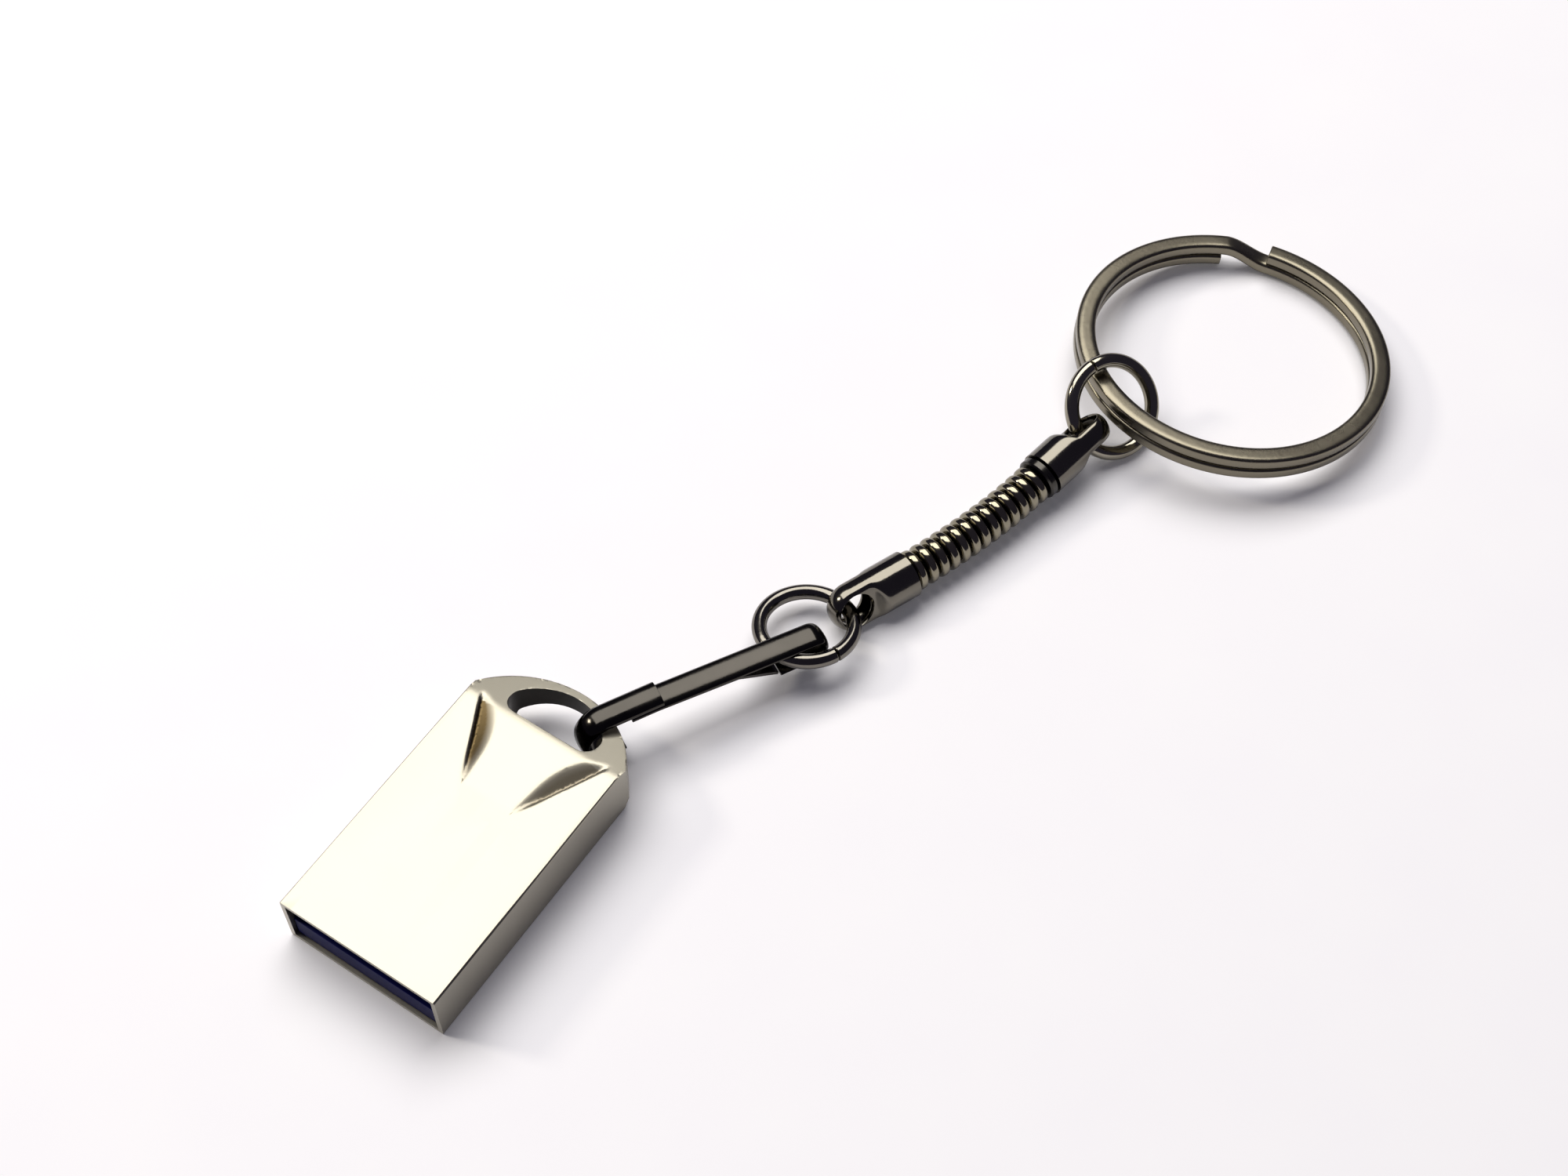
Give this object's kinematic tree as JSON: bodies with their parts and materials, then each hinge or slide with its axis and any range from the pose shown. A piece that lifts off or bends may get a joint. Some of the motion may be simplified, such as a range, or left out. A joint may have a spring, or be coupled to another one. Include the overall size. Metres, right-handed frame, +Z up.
{
  "type": "usb flash drive",
  "caption": "Slim metal plug-body flash drive with a tail slot, tethered by a strip hook, jump rings and a short snake chain to a split key ring.",
  "frame": {"origin": "middle of the flash drive's flat underside, on the surface it rests on", "axes": "+X out of the plug mouth, +Z up off the flat underside, +Y across the drive so that the frame is right-handed; the tether leaves towards -X"},
  "size_m": [0.0847, 0.0389, 0.0057],
  "materials": {
    "satin_zinc": "satin nickel plate on die-cast zinc",
    "blue_insulator": "moulded nylon, dark blue",
    "board_laminate": "green solder mask on glass laminate",
    "contact_gold": "gold flash on copper alloy",
    "chip_epoxy": "black moulding epoxy",
    "crystal_can": "nickel-plated can",
    "capacitor_body": "bare ceramic body",
    "resistor_body": "glazed ceramic body",
    "stop_plastic": "moulded black plastic",
    "gunmetal": "black nickel plate, bright",
    "gunmetal_wire": "black nickel plate, bright",
    "gunmetal_cap": "black nickel plate, bright",
    "gunmetal_chain": "black nickel plate, bright",
    "split_steel": "black nickel plate on spring steel"
  },
  "bodies": {
    "drive": {"shell": "satin_zinc", "plug_tray": "blue_insulator", "circuit_board": "board_laminate", "usb2_contacts": "contact_gold", "superspeed_contacts": "contact_gold", "controller_chip": "chip_epoxy", "memory_chip": "chip_epoxy", "crystal": "crystal_can", "capacitors": "capacitor_body", "resistors": "resistor_body", "board_stop": "stop_plastic"},
    "snap_hook": {"hook_strip": "gunmetal", "eye_strip": "gunmetal"},
    "gate": {"hook_gate": "gunmetal"},
    "lower_ring": {"lower_jump_ring": "gunmetal_wire"},
    "lower_cap": {"lower_end_cap": "gunmetal_cap"},
    "link_01": {"chain_link_01": "gunmetal_chain"},
    "link_02": {"chain_link_02": "gunmetal_chain"},
    "link_03": {"chain_link_03": "gunmetal_chain"},
    "link_04": {"chain_link_04": "gunmetal_chain"},
    "link_05": {"chain_link_05": "gunmetal_chain"},
    "link_06": {"chain_link_06": "gunmetal_chain"},
    "link_07": {"chain_link_07": "gunmetal_chain"},
    "link_08": {"chain_link_08": "gunmetal_chain"},
    "link_09": {"chain_link_09": "gunmetal_chain"},
    "link_10": {"chain_link_10": "gunmetal_chain"},
    "link_11": {"chain_link_11": "gunmetal_chain"},
    "link_12": {"chain_link_12": "gunmetal_chain"},
    "link_13": {"chain_link_13": "gunmetal_chain"},
    "upper_cap": {"upper_end_cap": "gunmetal_cap", "chain_collar": "gunmetal_chain"},
    "upper_ring": {"upper_jump_ring": "gunmetal_wire"},
    "key_ring": {"split_ring": "split_steel"}
  },
  "joints": [
    {"name": "hook_lift", "type": "hinge", "parent": "drive", "child": "snap_hook", "pos_m": [-0.01207, 0.00252, 0.00252], "axis": [0.4817, 0.8763, 0], "range_deg": [-70, 85]},
    {"name": "gate_press", "type": "hinge", "parent": "snap_hook", "child": "gate", "pos_m": [-0.02288, 0.00846, 0.00136], "axis": [0.4817, 0.8763, 0], "range_deg": [0, 10], "stiffness_Nm_per_rad": 0.002},
    {"name": "lower_ring_slide", "type": "hinge", "parent": "snap_hook", "child": "lower_ring", "pos_m": [-0.02637, 0.00875, 0.00199], "axis": [-0.144, -0.0971, 0.9848], "range_deg": [-30, 30]},
    {"name": "lower_cap_swing", "type": "hinge", "parent": "lower_ring", "child": "lower_cap", "pos_m": [-0.02957, 0.01024, 0.0017], "axis": [0.3535, 0.8707, 0.342], "range_deg": [-35, 35]},
    {"name": "bend_01", "type": "hinge", "parent": "lower_cap", "child": "link_01", "pos_m": [-0.03397, 0.01203, 0.0017], "axis": [0, 0, 1], "range_deg": [-5.5, 5.5]},
    {"name": "lift_02", "type": "hinge", "parent": "link_01", "child": "link_02", "pos_m": [-0.03483, 0.01237, 0.0017], "axis": [0.3486, 0.9373, 0], "range_deg": [-5.5, 5.5]},
    {"name": "bend_03", "type": "hinge", "parent": "link_02", "child": "link_03", "pos_m": [-0.03569, 0.01269, 0.0017], "axis": [0, 0, 1], "range_deg": [-5.5, 5.5]},
    {"name": "lift_04", "type": "hinge", "parent": "link_03", "child": "link_04", "pos_m": [-0.03656, 0.01299, 0.0017], "axis": [0.3206, 0.9472, 0], "range_deg": [-5.5, 5.5]},
    {"name": "bend_05", "type": "hinge", "parent": "link_04", "child": "link_05", "pos_m": [-0.03743, 0.01329, 0.0017], "axis": [0, 0, 1], "range_deg": [-5.5, 5.5]},
    {"name": "lift_06", "type": "hinge", "parent": "link_05", "child": "link_06", "pos_m": [-0.0383, 0.01357, 0.0017], "axis": [0.2924, 0.9563, 0], "range_deg": [-5.5, 5.5]},
    {"name": "bend_07", "type": "hinge", "parent": "link_06", "child": "link_07", "pos_m": [-0.03918, 0.01384, 0.0017], "axis": [0, 0, 1], "range_deg": [-5.5, 5.5]},
    {"name": "lift_08", "type": "hinge", "parent": "link_07", "child": "link_08", "pos_m": [-0.04007, 0.0141, 0.0017], "axis": [0.2639, 0.9646, 0], "range_deg": [-5.5, 5.5]},
    {"name": "bend_09", "type": "hinge", "parent": "link_08", "child": "link_09", "pos_m": [-0.04096, 0.01434, 0.0017], "axis": [0.0135, -0.0035, 0.9999], "range_deg": [-5.5, 5.5]},
    {"name": "lift_10", "type": "hinge", "parent": "link_09", "child": "link_10", "pos_m": [-0.04185, 0.01457, 0.00171], "axis": [0.2351, 0.972, 0], "range_deg": [-5.5, 5.5]},
    {"name": "bend_11", "type": "hinge", "parent": "link_10", "child": "link_11", "pos_m": [-0.04274, 0.01478, 0.00174], "axis": [0.0408, -0.0092, 0.9991], "range_deg": [-5.5, 5.5]},
    {"name": "lift_12", "type": "hinge", "parent": "link_11", "child": "link_12", "pos_m": [-0.04364, 0.01499, 0.00178], "axis": [0.2062, 0.9785, 0], "range_deg": [-5.5, 5.5]},
    {"name": "bend_13", "type": "hinge", "parent": "link_12", "child": "link_13", "pos_m": [-0.04454, 0.01518, 0.00183], "axis": [0.0685, -0.0134, 0.9976], "range_deg": [-5.5, 5.5]},
    {"name": "lift_14", "type": "hinge", "parent": "link_13", "child": "upper_cap", "pos_m": [-0.04544, 0.01535, 0.00189], "axis": [0.1917, 0.9815, 0], "range_deg": [-5.5, 5.5]},
    {"name": "upper_ring_slide", "type": "hinge", "parent": "upper_cap", "child": "upper_ring", "pos_m": [-0.05362, 0.01687, 0.00285], "axis": [0.2602, 0.6441, 0.7193], "range_deg": [-20, 20]},
    {"name": "key_ring_swing", "type": "hinge", "parent": "upper_ring", "child": "key_ring", "pos_m": [-0.05367, 0.01688, 0.00327], "axis": [0.4179, 0.9081, 0.0254], "range_deg": [-20, 50]}
  ],
  "couplings": [
    {"joint": "bend_03", "follows": "bend_01", "ratio": 1},
    {"joint": "lift_04", "follows": "lift_02", "ratio": 1},
    {"joint": "bend_05", "follows": "bend_01", "ratio": 1},
    {"joint": "lift_06", "follows": "lift_02", "ratio": 1},
    {"joint": "bend_07", "follows": "bend_01", "ratio": 1},
    {"joint": "lift_08", "follows": "lift_02", "ratio": 1},
    {"joint": "bend_09", "follows": "bend_01", "ratio": 1},
    {"joint": "lift_10", "follows": "lift_02", "ratio": 1},
    {"joint": "bend_11", "follows": "bend_01", "ratio": 1},
    {"joint": "lift_12", "follows": "lift_02", "ratio": 1},
    {"joint": "bend_13", "follows": "bend_01", "ratio": 1},
    {"joint": "lift_14", "follows": "lift_02", "ratio": 1}
  ]
}
